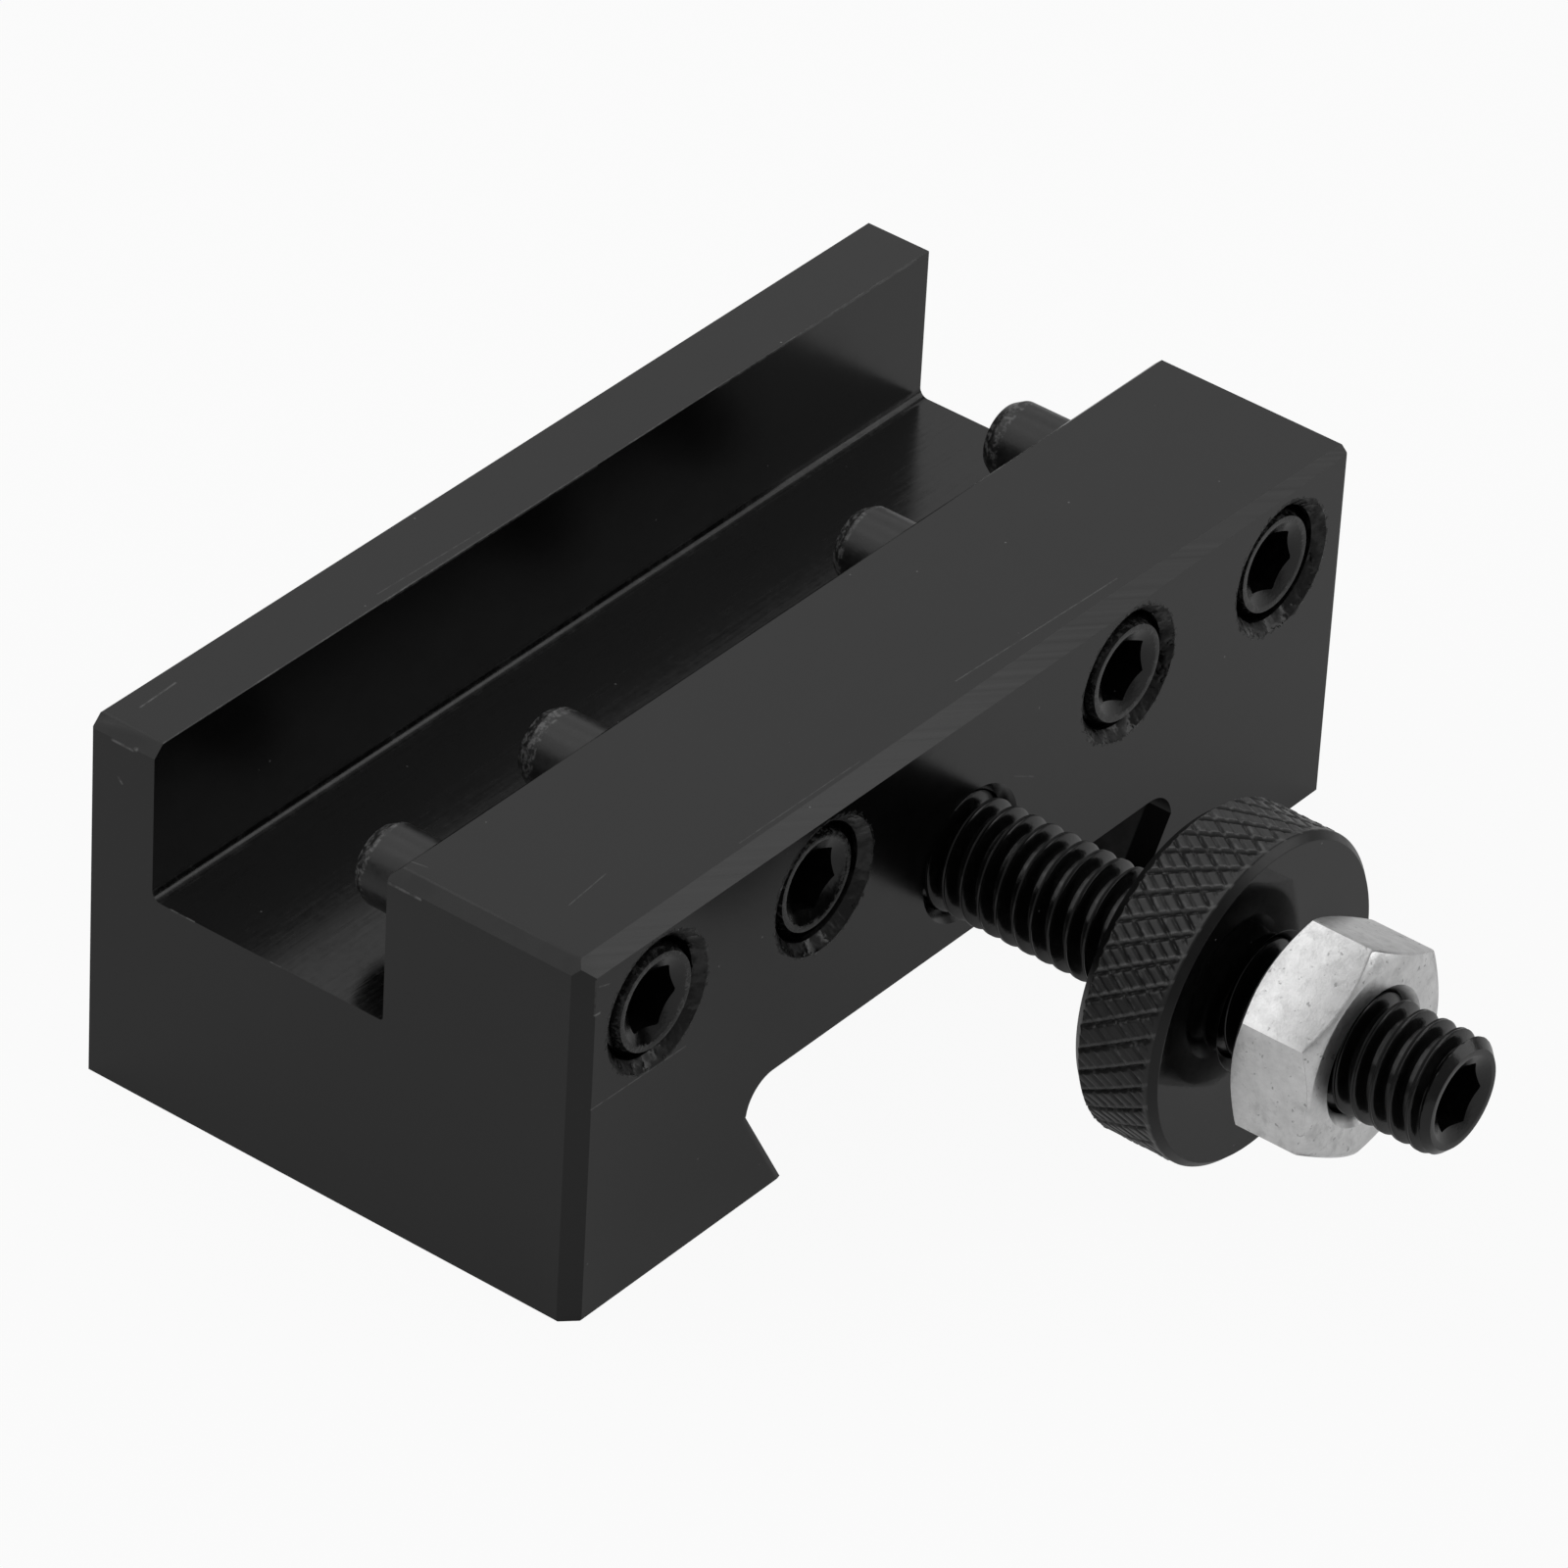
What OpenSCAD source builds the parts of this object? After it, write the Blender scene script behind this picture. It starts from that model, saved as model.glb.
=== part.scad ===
// Quick change tool holder for turning and facing, for a small lathe.
// Millimetres. X runs along the tool slot, Y from the clamp screws' face to the
// thin wall, Z up from the dovetail face that it lies on. The origin is the
// middle of the dovetail's mouth.

/* [Body] */
// Length along the tool slot
body_l = 56; // [54:0.5:80]
// Height from the dovetail face to the top
body_h = 19.7; // [18.5:0.1:26]
// Thickness of the block that holds the clamp screws
block_t = 11.3; // [9.5:0.1:15]
// Width of the tool slot
slot_w = 13.6; // [11:0.1:16]
// Depth of the tool slot
slot_depth = 8.3; // [7:0.1:9]
// Thickness of the thin wall that the tool rests on
wall_t = 3.7; // [2:0.1:8]
// Fillet between the slot's floor and the thin wall
slot_fillet = 0.5; // [0.3:0.1:2]
// Fillet between the slot's floor and the block
block_fillet = 0.2; // [0.2:0.1:1]

/* [Edges] */
// Chamfer of the block's outer top edge
outer_chamfer = 0.8; // [0.3:0.1:1.2]
// Chamfer of the block's upright corner at the cutting end
corner_chamfer = 0.8; // [0.3:0.1:1.2]
// Chamfer of the top edges at the cutting end
end_chamfer = 0.6; // [0.2:0.1:1]
// Chamfer of the block's inner top edge
inner_chamfer = 0.4; // [0.2:0.1:0.8]
// Small break on the other edges
edge_break = 0.05; // [0.05:0.05:0.4]
// Width of the filed break along the groove's flank at the cutting end
flank_break = 0.35; // [0.1:0.05:0.8]

/* [Dovetail] */
// Width of the groove's mouth, between the two lips
mouth_w = 25.9; // [22:0.1:28]
// Depth of the groove
dovetail_depth = 6.65; // [6:0.05:7.2]
// Height of the straight flanks
flank_h = 5.05; // [4.9:0.05:5.3]
// Angle of the flanks to the dovetail face
flank_angle = 60; // [55:1:70]
// Radius of the relief above each flank
relief_r = 1.85; // [1.7:0.05:2.2]

/* [Thread] */
// Nominal diameter of the screws, the stud and the nut
thread_d = 6; // [5:0.5:6.5]
// Pitch of the thread
thread_pitch = 1; // [0.8:0.05:1.25]
// Play between a thread and its hole, on the radius
thread_play = 0.08; // [0.03:0.01:0.1]
// Chamfer at the mouth of each tapped hole
mouth_chamfer = 0.5; // [0.2:0.1:0.8]
// Width across flats of the hexagon sockets
socket_af = 3; // [2.5:0.1:3.2]
// Depth of the hexagon sockets
socket_depth = 3.2; // [2:0.1:4]

/* [Clamp screws] */
// Length of each clamp screw
screw_l = 16; // [14:0.5:20]
// Distance from each end of the body to the first screw
screw_inset = 4.95; // [4.6:0.05:6]
// Distance between the two screws of each pair
screw_gap = 11.8; // [9:0.1:12]
// Offset of the row of screws from the body's middle
screw_row_shift = 0.25; // [-0.5:0.05:0.5]
// Depth of the screws below the top of the body
screw_drop = 4.5; // [4.2:0.05:4.8]
// How far the first screw stands into the slot
screw_reach = 4.8; // [3:0.1:8]
// Diameter of the smooth point
point_d = 4; // [3.5:0.1:4.6]
// Length of the smooth point
point_l = 4; // [2:0.1:5]

/* [Height stud] */
// Length of the stud
stud_l = 35; // [32:0.5:40]
// Length of the stud inside the body
stud_seat = 7.3; // [6:0.1:8]
// Height of the stud above the dovetail face
stud_z = 11.15; // [10.8:0.05:11.4]

/* [Height wheel] */
// Gap between the body and the wheel
wheel_gap = 11.9; // [8:0.1:13]
// Diameter of the wheel over its knurl
wheel_d = 16.5; // [14:0.1:18]
// Thickness of the wheel
wheel_t = 4.8; // [4:0.1:6]
// Chamfer of the wheel's two rims
wheel_chamfer = 0.7; // [0.3:0.1:0.8]
// Number of grooves of each hand in the diamond knurl
knurl_count = 36; // [24:1:48]
// Depth of the knurl's grooves
knurl_depth = 0.2; // [0.1:0.05:0.3]
// Angle of the knurl's grooves to the wheel's axis
knurl_angle = 30; // [20:1:40]

/* [Lock nut] */
// Gap between the wheel and the nut
nut_gap = 1.7; // [1:0.1:3]
// Width across flats of the nut
nut_af = 10; // [9:0.1:11]
// Thickness of the nut
nut_t = 4.4; // [3:0.1:5]
// Turn of the nut about the stud
nut_turn = 31.6; // [0:0.1:60]

/* [Hidden] */

// Smoothness of true round surfaces
$fn = 72;
// Amount by which a cutter runs past the face that it cuts
over = 1;
// Amount by which two joined shapes share their seam
lap = 0.01;

body_w = block_t + slot_w + wall_t;
face_y = -body_w / 2;
slot_y0 = face_y + block_t;
slot_y1 = slot_y0 + slot_w;
slot_z = body_h - slot_depth;

// Thread sizes, from the nominal diameter
hole_r = thread_d / 2;
crest_r = hole_r - thread_play;
thread_depth = 0.61 * thread_pitch;
root_r = crest_r - thread_depth;
// One thread ridge: how far along the pitch and how far up its depth each corner is
ridge = [[0, 0], [5 / 16, 1], [7 / 16, 1], [3 / 4, 0]];
// First thread at a socket end: its chamfer, and the length that it takes
rim_chamfer = 0.45;
rim_l = 0.9;
// Half of the angle of the drill's point
drill_half_angle = 59;

// Clamp screws, from the cutting end: place along X, how much further than
// the first each is wound in, and how its socket is turned
screw_x_outer = body_l / 2 - screw_inset;
screw_x_inner = screw_x_outer - screw_gap;
screw_x = [for (x = [-screw_x_outer, -screw_x_inner, screw_x_inner, screw_x_outer])
           x + screw_row_shift];
screw_wind = [0, 0.35, 0, 0.3];
screw_turn = [12, 20, 25, 18];
screw_z = body_h - screw_drop;
// Cone at the end of the smooth point: its length and its drop in radius
point_cone_l = 0.6;
point_cone_drop = 0.35;

// How far the filed break runs back along the groove, as a share of its width
flank_break_share = 0.3;

// Sockets: the drilled bottom is a little smaller than the hexagon's flats, and the
// countersunk mouth a little wider than its corners, with a flat rim left round it
socket_corner_r = socket_af / 2 / cos(30);
socket_drill_r = socket_af / 2 - 0.1;
socket_rim = 0.2;
socket_mouth_r = min(socket_corner_r + 0.4, crest_r - rim_chamfer - socket_rim);
socket_mouth_slope = tan(30);

stud_socket_turn = 11;

wheel_y = face_y - wheel_gap;
// Turn of the knurl's grooves of each hand, as a share of their spacing
knurl_phase = 1 / 8;

nut_y = wheel_y - wheel_t - nut_gap;
nut_corner_r = nut_af / 2 / cos(30);
// Radius at which the nut's turned chamfer meets its faces
nut_face_r = 0.475 * nut_af;
nut_chamfer_angle = 30;

black = [0.17, 0.17, 0.18];
jet = [0.08, 0.08, 0.09];
bright = [0.72, 0.73, 0.75];

// Places a child drawn along Z so that it runs towards the thin wall
module towards_wall(x, y, z) {
    translate([x, y, z]) rotate([-90, 0, 0]) children();
}

// Places a child drawn along Z so that it runs away from the body
module away_from_body(y) {
    translate([0, y, stud_z]) rotate([90, 0, 0]) children();
}

// Square bars that chamfer an edge along X, Y or Z
module chamfer_x(y, z, c) {
    translate([0, y, z]) rotate([45, 0, 0])
        cube([body_l + 2 * over, c * sqrt(2), c * sqrt(2)], center = true);
}

module chamfer_y(x, z, c) {
    translate([x, 0, z]) rotate([0, 45, 0])
        cube([c * sqrt(2), body_w + 2 * over, c * sqrt(2)], center = true);
}

module chamfer_z(x, y, c) {
    translate([x, y, body_h / 2]) rotate([0, 0, 45])
        cube([c * sqrt(2), c * sqrt(2), body_h + 2 * over], center = true);
}

// Tool slot, open at both ends and at the top, with both floor corners round
module tool_slot() {
    length = body_l + 2 * over;
    y0 = slot_y0;
    y1 = slot_y1;
    high = max(slot_fillet, block_fillet);
    translate([-length / 2, y0, slot_z + high])
        cube([length, slot_w, slot_depth - high + over]);
    translate([-length / 2, y0 + block_fillet, slot_z])
        cube([length, slot_w - slot_fillet - block_fillet, high + over]);
    translate([-length / 2, y0, slot_z + block_fillet])
        cube([length, slot_w / 2, high - block_fillet + over]);
    for (corner = [[y0 + block_fillet, block_fillet], [y1 - slot_fillet, slot_fillet]])
        translate([-length / 2, corner[0], slot_z + corner[1]]) rotate([0, 90, 0])
            cylinder(r = corner[1], h = length);
}

// Dovetail groove, along Y: sloping flanks below, a round relief in each corner
module dovetail_groove() {
    length = body_w + 2 * over;
    lip = mouth_w / 2;
    cusp = lip + flank_h / tan(flank_angle);
    relief_z = dovetail_depth - relief_r;
    relief_x = cusp - sqrt(pow(relief_r, 2) - pow(flank_h - relief_z, 2));
    translate([0, length / 2, 0]) rotate([90, 0, 0]) {
        linear_extrude(length)
            polygon([[-lip, -over], [lip, -over], [lip, 0], [cusp, flank_h],
                     [-cusp, flank_h], [-lip, 0]]);
        translate([-relief_x, flank_h - lap, 0])
            cube([2 * relief_x, dovetail_depth - flank_h + lap, length]);
        intersection() {
            for (side = [-1, 1])
                translate([side * relief_x, relief_z, 0]) cylinder(r = relief_r, h = length);
            translate([-cusp, flank_h - lap, 0])
                cube([2 * cusp, dovetail_depth, length]);
        }
    }
}

// Thin wedge that breaks the edge between the screw face and the groove's flank at
// the cutting end
module filed_break() {
    bar = flank_h / sin(flank_angle);
    translate([-mouth_w / 2, face_y + flank_break * flank_break_share, 0])
        rotate([0, flank_angle - 90, 0]) rotate([0, 0, atan(flank_break_share)])
            translate([-bar / 2, -over, -over]) cube([bar, over, bar + over - lap]);
}

// Tapped hole of the given depth, drawn up from its mouth, with a chamfered mouth
module tapped_hole(depth) {
    translate([0, 0, -over]) cylinder(r = hole_r, h = depth + over);
    translate([0, 0, -over])
        cylinder(r1 = hole_r + mouth_chamfer + over, r2 = hole_r,
                 h = mouth_chamfer + over);
}

// Tapered end that the drill leaves at the bottom of a blind hole
module drill_point() {
    cylinder(r1 = hole_r, r2 = 0, h = hole_r / tan(drill_half_angle));
}

module holder_body() {
    color(black) difference() {
        translate([-body_l / 2, face_y, 0]) cube([body_l, body_w, body_h]);
        tool_slot();
        dovetail_groove();
        filed_break();
        for (x = screw_x)
            towards_wall(x, face_y, screw_z) tapped_hole(block_t + over);
        translate([0, face_y, stud_z]) rotate([-90, 0, 0]) {
            tapped_hole(stud_seat);
            translate([0, 0, stud_seat]) drill_point();
        }
        chamfer_x(face_y, body_h, outer_chamfer);
        chamfer_x(face_y, 0, edge_break);
        chamfer_x(slot_y0, body_h, inner_chamfer);
        chamfer_x(slot_y1, body_h, edge_break);
        chamfer_x(face_y + body_w, body_h, edge_break);
        chamfer_x(face_y + body_w, 0, edge_break);
        chamfer_y(-body_l / 2, body_h, end_chamfer);
        chamfer_y(body_l / 2, body_h, edge_break);
        chamfer_y(-body_l / 2, 0, edge_break);
        chamfer_y(body_l / 2, 0, edge_break);
        chamfer_z(-body_l / 2, face_y, corner_chamfer);
        chamfer_z(body_l / 2, face_y, edge_break);
        chamfer_z(-body_l / 2, face_y + body_w, edge_break);
        chamfer_z(body_l / 2, face_y + body_w, edge_break);
    }
}

// Outline of thread ridges from z0 to z1, as [radius, height] points going up
function ridges(z0, z1) =
    let (turns = max(1, round((z1 - z0) / thread_pitch)), pitch = (z1 - z0) / turns)
    [for (i = [0 : turns - 1], corner = ridge)
        [root_r + corner[1] * thread_depth, z0 + (i + corner[0]) * pitch]];

// Chamfered first thread at a socket end at z, as points that start from the end
function end_thread(z, way) =
    [[crest_r - rim_chamfer, z], [crest_r, z + way * rim_chamfer],
     [crest_r, z + way * (rim_chamfer + thread_pitch / 8)], [root_r, z + way * rim_l]];

// Hexagon socket, cut down from the top face of a screw that ends at z, with a
// drilled bottom and a countersunk mouth
module hex_socket(z, turn) {
    mouth_l = (socket_mouth_r - socket_drill_r) * socket_mouth_slope;
    rotate([0, 0, turn]) translate([0, 0, z - socket_depth])
        cylinder(r = socket_corner_r, h = socket_depth + over, $fn = 6);
    translate([0, 0, z - socket_depth - socket_drill_r / 2])
        cylinder(r1 = 0, r2 = socket_drill_r, h = socket_drill_r / 2);
    translate([0, 0, z - mouth_l])
        cylinder(r1 = socket_drill_r, r2 = socket_mouth_r + over / socket_mouth_slope,
                 h = mouth_l + over);
}

// Clamp screw, drawn from its socket end at the origin up to its smooth point
module clamp_screw(i) {
    end_y = slot_y0 + screw_reach + screw_wind[i];
    thread_end = screw_l - point_l;
    color(jet) towards_wall(screw_x[i], end_y - screw_l, screw_z) difference() {
        rotate_extrude()
            polygon(concat(
                [[0, 0]], end_thread(0, 1), ridges(rim_l, thread_end - rim_chamfer),
                [[root_r, thread_end - rim_chamfer], [point_d / 2, thread_end],
                 [point_d / 2, screw_l - point_cone_l],
                 [point_d / 2 - point_cone_drop, screw_l], [0, screw_l]]));
        mirror([0, 0, 1]) hex_socket(0, screw_turn[i]);
    }
}

// Height stud, drawn from its seat at the origin up to its socket end
module height_stud() {
    rim = end_thread(stud_l, -1);
    color(jet) away_from_body(face_y + stud_seat) difference() {
        rotate_extrude()
            polygon(concat(
                [[0, 0], [root_r - rim_chamfer, 0], [root_r, rim_chamfer]],
                ridges(rim_chamfer, stud_l - rim_l),
                [for (i = [3 : -1 : 0]) rim[i]], [[0, stud_l]]));
        hex_socket(stud_l, stud_socket_turn);
    }
}

// One straight V-shaped groove of the knurl, across the rim at the given turn
module knurl_groove(turn, angle) {
    reach = knurl_depth + over;
    length = wheel_t / cos(knurl_angle) + 2 * over;
    rotate([0, 0, turn]) translate([wheel_d / 2 - knurl_depth, 0, wheel_t / 2])
        rotate([angle, 0, 0]) translate([0, 0, -length / 2]) linear_extrude(length)
            polygon([[0, 0], [reach, -reach], [reach, reach]]);
}

module knurled_wheel() {
    r = wheel_d / 2;
    color(jet) away_from_body(wheel_y) difference() {
        rotate_extrude()
            polygon([[hole_r, mouth_chamfer], [hole_r + mouth_chamfer, 0],
                     [r - wheel_chamfer, 0], [r, wheel_chamfer],
                     [r, wheel_t - wheel_chamfer], [r - wheel_chamfer, wheel_t],
                     [hole_r + mouth_chamfer, wheel_t],
                     [hole_r, wheel_t - mouth_chamfer]]);
        for (i = [0 : knurl_count - 1], hand = [-1, 1])
            knurl_groove(360 / knurl_count * (i + hand * knurl_phase), hand * knurl_angle);
    }
}

// Hexagon nut with a turned chamfer on both faces
module lock_nut() {
    rim_r = nut_corner_r + over;
    drop = (rim_r - nut_face_r) * tan(nut_chamfer_angle);
    color(bright) away_from_body(nut_y) difference() {
        intersection() {
            rotate([0, 0, nut_turn]) cylinder(r = nut_corner_r, h = nut_t, $fn = 6);
            rotate_extrude()
                polygon([[0, 0], [nut_face_r, 0], [rim_r, drop], [rim_r, nut_t - drop],
                         [nut_face_r, nut_t], [0, nut_t]]);
        }
        tapped_hole(nut_t + over);
        translate([0, 0, nut_t]) mirror([0, 0, 1]) tapped_hole(nut_t / 2);
    }
}

holder_body();
for (i = [0 : 3])
    clamp_screw(i);
height_stud();
knurled_wheel();
lock_nut();
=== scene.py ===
import math

import bmesh
import bpy
import numpy as np
from mathutils import Matrix, Vector


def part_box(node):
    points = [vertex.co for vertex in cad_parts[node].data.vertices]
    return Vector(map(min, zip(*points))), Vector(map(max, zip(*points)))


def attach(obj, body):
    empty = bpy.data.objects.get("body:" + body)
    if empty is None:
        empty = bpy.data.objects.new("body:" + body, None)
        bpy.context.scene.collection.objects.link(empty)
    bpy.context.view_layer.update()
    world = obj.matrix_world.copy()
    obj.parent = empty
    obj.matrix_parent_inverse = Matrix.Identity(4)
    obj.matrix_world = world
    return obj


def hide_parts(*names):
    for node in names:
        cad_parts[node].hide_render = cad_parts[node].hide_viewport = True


# A small lathe's tool holder: a blackened steel body with a tool slot and a
# dovetail groove, set screws, and a knurled height wheel on a stud with a nut.
# Metres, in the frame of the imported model. X runs along the tool slot, Y from
# the clamp screws' face to the thin wall, Z up.
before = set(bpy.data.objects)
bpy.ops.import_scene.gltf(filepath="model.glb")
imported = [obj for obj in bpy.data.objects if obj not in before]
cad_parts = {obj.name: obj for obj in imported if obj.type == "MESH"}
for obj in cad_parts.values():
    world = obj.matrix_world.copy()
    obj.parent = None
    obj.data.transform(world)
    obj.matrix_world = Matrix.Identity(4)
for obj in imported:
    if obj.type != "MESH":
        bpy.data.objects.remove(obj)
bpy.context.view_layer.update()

MM = 0.001


def added(name, data):
    """New object, linked to the scene."""
    thing = bpy.data.objects.new(name, data)
    bpy.context.scene.collection.objects.link(thing)
    return thing


# Camera, at the photograph's place
CAMERA_PLACE = Vector((-335.2536, -254.108, 305.9103)) * MM
CAMERA_AIM = Vector((4.8408, 0.1173, 5.581)) * MM
CAMERA_ROLL = math.radians(3.28244)
CAMERA_LENS = 255.5954
CAMERA_SENSOR = 36
CAMERA_CLIP = (0.01, 20)


def make_camera():
    data = bpy.data.cameras.new("camera")
    data.lens = CAMERA_LENS
    data.sensor_width = CAMERA_SENSOR
    data.clip_start, data.clip_end = CAMERA_CLIP
    camera = added("camera", data)
    look = (CAMERA_AIM - CAMERA_PLACE).to_track_quat("-Z", "Y").to_matrix().to_4x4()
    camera.matrix_world = (
        Matrix.Translation(CAMERA_PLACE) @ look @ Matrix.Rotation(CAMERA_ROLL, 4, "Z")
    )
    bpy.context.scene.camera = camera


make_camera()


# Meshes that are made ring by ring
WELD = 1e-7
FILLET_SEGMENTS = 4
NEARLY_STRAIGHT = math.radians(89)


class Solid:
    """Collects points and faces of a piece that is drawn along its own Z axis."""

    def __init__(self, columns):
        self.columns = columns
        self.angles = np.arange(columns) * 2 * math.pi / columns
        self.points = []
        self.faces = []
        self.count = 0

    def add(self, points):
        first = self.count
        self.points.append(points)
        self.count += len(points)
        return first

    def ring(self, radius, z):
        r = np.broadcast_to(radius, (self.columns,))
        h = np.broadcast_to(z, (self.columns,))
        return self.add(np.stack([r * np.cos(self.angles), r * np.sin(self.angles), h], 1))

    def centre(self, z):
        return self.add(np.array([[0.0, 0.0, z]]))

    def join(self, low, high):
        """Quads between two rings."""
        i = np.arange(self.columns)
        j = (i + 1) % self.columns
        self.faces.extend(np.stack([low + i, low + j, high + j, high + i], 1).tolist())

    def fan(self, ring, centre, up):
        """Triangles between a ring and a middle point."""
        for i in range(self.columns):
            j = (i + 1) % self.columns
            a, b = (i, j) if up else (j, i)
            self.faces.append([ring + a, ring + b, centre])

    def path(self, outline, last):
        """Rings for (radius, height) pairs, each joined to the one before, from ring last."""
        for radius, z in outline:
            now = self.ring(radius, z)
            self.join(last, now)
            last = now
        return last

    def build(self, name, place, body, node, material, sharp):
        bm = bmesh.new()
        points = np.concatenate(self.points)
        verts = [bm.verts.new(place @ Vector(p)) for p in points]
        for face in self.faces:
            bm.faces.new([verts[i] for i in face])
        bmesh.ops.remove_doubles(bm, verts=bm.verts, dist=WELD)
        bmesh.ops.dissolve_degenerate(bm, dist=WELD, edges=bm.edges)
        bmesh.ops.recalc_face_normals(bm, faces=bm.faces)
        return finish_mesh(bm, name, body, node, material, sharp)


def finish_mesh(bm, name, body, node, material, sharp):
    """Object of the mesh, with edges sharp from that angle, that replaces a CAD node."""
    mesh = bpy.data.meshes.new(name)
    bm.to_mesh(mesh)
    bm.free()
    mesh.shade_smooth()
    mesh.set_sharp_from_angle(angle=math.radians(sharp))
    mesh.materials.append(material)
    piece = added(name, mesh)
    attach(piece, body)
    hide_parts(node)
    return piece


def rounded(corners):
    """Outline through (radius, height, fillet) corners, with each corner rounded."""
    points = [np.array(c[:2], float) for c in corners]
    outline = [tuple(points[0])]
    for before, here, after, corner in zip(points, points[1:], points[2:], corners[1:]):
        fillet = corner[2]
        a = (before - here) / np.linalg.norm(before - here)
        b = (after - here) / np.linalg.norm(after - here)
        half = math.acos(max(-1.0, min(1.0, float(a @ b)))) / 2
        if fillet <= 0 or half > NEARLY_STRAIGHT:
            outline.append(tuple(here))
            continue
        reach = fillet / math.tan(half)
        start, end = here + a * reach, here + b * reach
        for step in np.linspace(0, 1, FILLET_SEGMENTS + 1):
            bend = (1 - step) ** 2 * start + 2 * step * (1 - step) * here + step**2 * end
            outline.append(tuple(bend))
    outline.append(tuple(points[-1]))
    return outline


def along_y(x, y, z, towards_wall):
    """Placement that turns a piece's own Z axis to +Y or to -Y."""
    turn = Matrix.Rotation(math.radians(-90 if towards_wall else 90), 4, "X")
    return Matrix.Translation((x, y, z)) @ turn


def eased(v, share):
    """Value from 0 to 1, with this share of it slowed towards both ends."""
    return v * v * (3 - 2 * v) * share + v * (1 - share)


def hexagon_radii(angles, flats, turn):
    """Radius of a hexagon at each angle, and at its corners, one of them at turn degrees."""
    from_flat = np.mod(np.degrees(angles) - turn, 60) - 30
    return flats / 2 / np.cos(np.radians(from_flat)), flats / 2 / math.cos(math.radians(30))


# Threads. The shares are of half a pitch, measured from the middle of the crest.
PITCH = 1.0 * MM
THREAD_DEPTH = 0.61 * PITCH
THREAD_COLUMNS = 72
THREAD_STEPS = 24
THREAD_EASED = 0.1
CREST_SHARE = 0.2
CREST_LAP = 0.05
ROOT_SHARE = 0.72
FADE_FROM = 0.25 * MM
FADE_LENGTH = 0.5 * MM
THREAD_SHARP = 40


def thread_surface(solid, crest, length, start_limit, end_limit, opening=1.0):
    """Right-hand helical thread from z = 0. The limits are the radii at its two ends,
    the first with its own slope, and the groove fades in behind the first."""
    columns, steps = solid.columns, THREAD_STEPS
    rows = int(math.ceil((length / PITCH + 1) * steps)) + 1
    column = np.arange(columns)
    firsts = []
    for k in range(rows):
        z = np.clip((k / steps + column / columns - 1) * PITCH, 0, length)
        phase = np.mod(z / PITCH - column / columns, 1.0)
        away = np.abs(phase - 0.5) * 2
        height = np.clip((ROOT_SHARE - away) / (ROOT_SHARE - CREST_SHARE), 0, 1)
        lap = CREST_LAP * np.clip(1 - away / (CREST_SHARE / 2), 0, 1)
        height = eased(height, THREAD_EASED) - lap
        fade = np.clip((z - FADE_FROM) / FADE_LENGTH, 0, 1)
        radius = crest - THREAD_DEPTH * (1 - height) * fade
        limit = np.minimum(start_limit + opening * z, end_limit + (length - z))
        firsts.append(solid.ring(np.minimum(radius, limit), z))
    for low, high in zip(firsts, firsts[1:]):
        for i in range(columns - 1):
            solid.faces.append([low + i, low + i + 1, high + i + 1, high + i])
    # The last column meets the first one a pitch further on
    last = len(firsts) - 1
    for k in range(last):
        a, b = firsts[min(k + steps, last)], firsts[min(k + 1 + steps, last)]
        quad = [firsts[k] + columns - 1, a, b, firsts[k + 1] + columns - 1]
        solid.faces.append(list(dict.fromkeys(quad)))
    return firsts[0], firsts[-1]


# Hexagon sockets, with a drilled cone at the bottom
SOCKET_FLATS = 3.0 * MM
SOCKET_DEPTH = 3.2 * MM
SOCKET_MOUTH = 0.4 * MM
SOCKET_MOUTH_SLOPE = math.tan(math.radians(30))
SOCKET_DRILL_SHARE = 0.93
CONE_TIP_SHARE = 0.1
RIM_CHAMFER = 0.45 * MM
RIM_EDGE = 0.06 * MM


def socket_end(solid, rim, rim_radius, turn):
    """Flat end at z = 0 with a hexagon socket, joined to the ring at the rim."""
    hexagon, corner = hexagon_radii(solid.angles, SOCKET_FLATS, turn)
    mouth = corner + SOCKET_MOUTH
    edge = solid.ring(rim_radius - RIM_EDGE, 0)
    solid.join(rim, edge)
    inner = solid.path([(mouth + RIM_EDGE, 0), (mouth, RIM_EDGE * 0.3)], edge)
    drill = SOCKET_FLATS / 2 * SOCKET_DRILL_SHARE
    cone_end = SOCKET_DEPTH + drill / 2
    cone = solid.path([
        (hexagon, (mouth - hexagon) * SOCKET_MOUTH_SLOPE), (hexagon, SOCKET_DEPTH),
        (drill, SOCKET_DEPTH), (drill * CONE_TIP_SHARE, cone_end)], inner)
    solid.fan(cone, solid.centre(cone_end), False)


# Clamp screws
POINT_LENGTH = 4.0 * MM
POINT_RADIUS = 2.03 * MM
POINT_CONE_LENGTH = 0.6 * MM
POINT_CONE_DROP = 0.35 * MM
POINT_FLAT_RADIUS = 0.6 * MM
POINT_FILLET = 0.25 * MM
NECK_HALF = 0.1 * MM
NECK_FILLET = 0.05 * MM
SCREW_RIM_OPENING = 0.4
SCREW_TURNS = [12, 20, 25, 18]


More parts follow.
